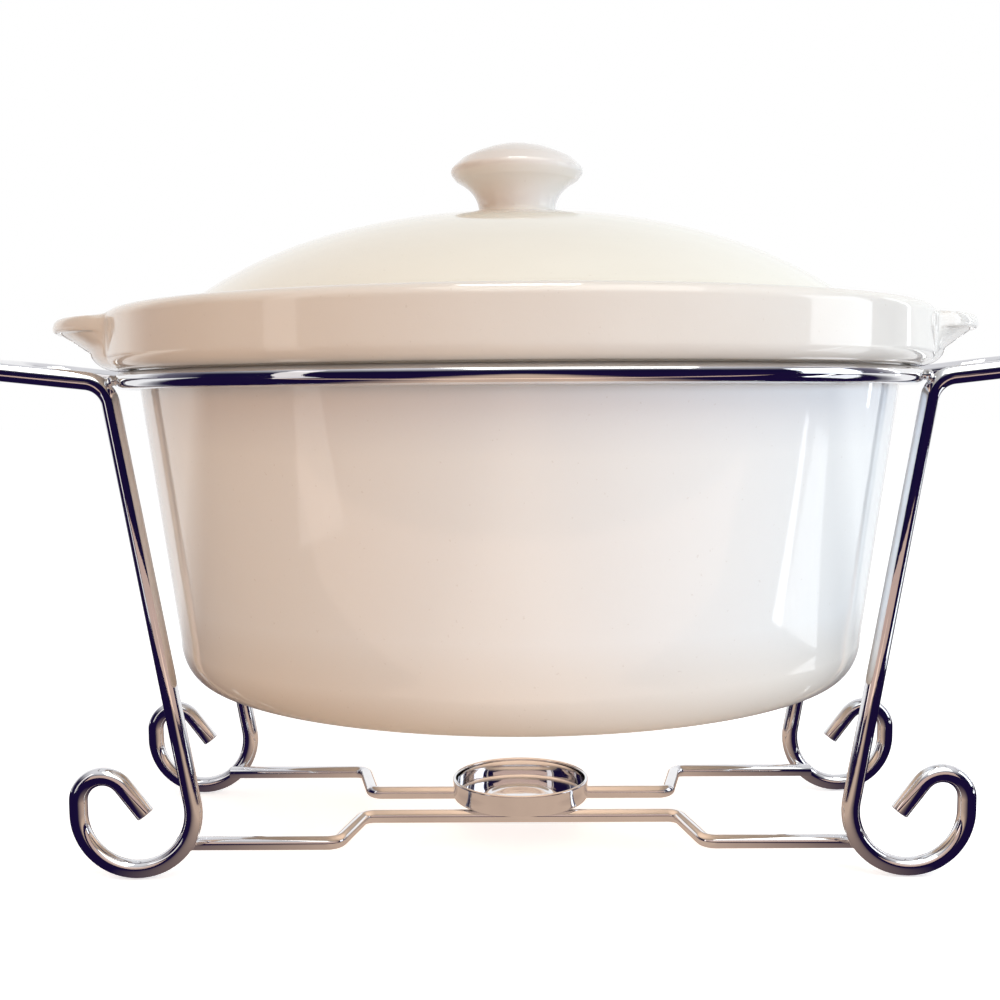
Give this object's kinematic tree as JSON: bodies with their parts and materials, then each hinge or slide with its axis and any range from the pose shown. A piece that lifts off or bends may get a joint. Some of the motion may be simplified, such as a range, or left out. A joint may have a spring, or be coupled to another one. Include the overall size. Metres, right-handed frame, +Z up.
{
  "type": "lidded casserole on a wire warming stand",
  "caption": "Round glazed ceramic casserole with ear handles and a domed knob lid, held in a bent chrome wire stand over a tealight cup.",
  "frame": {"origin": "on the table, under the middle of the stand and of the pot", "axes": "+Z up; +X along the long way of the set, through both carrying handles and both ears; the front of the stand faces -Y"},
  "size_m": [0.3452, 0.2464, 0.2151],
  "materials": {
    "glazed_ceramic": "glossy off-white glaze",
    "chrome": "bright chrome plating"
  },
  "bodies": {
    "stand": {"top_ring": "chrome", "left_side_wire": "chrome", "right_side_wire": "chrome", "front_rail": "chrome", "rear_rail": "chrome", "tealight_cup": "chrome"},
    "pot": {"casserole_pot": "glazed_ceramic"},
    "lid": {"lid": "glazed_ceramic"}
  },
  "joints": [
    {"name": "pot_lift", "type": "slide", "parent": "stand", "child": "pot", "axis": [0, 0, 1], "range_m": [0, 0.13]},
    {"name": "lid_lift", "type": "slide", "parent": "pot", "child": "lid", "axis": [0, 0, 1], "range_m": [0, 0.1]}
  ]
}
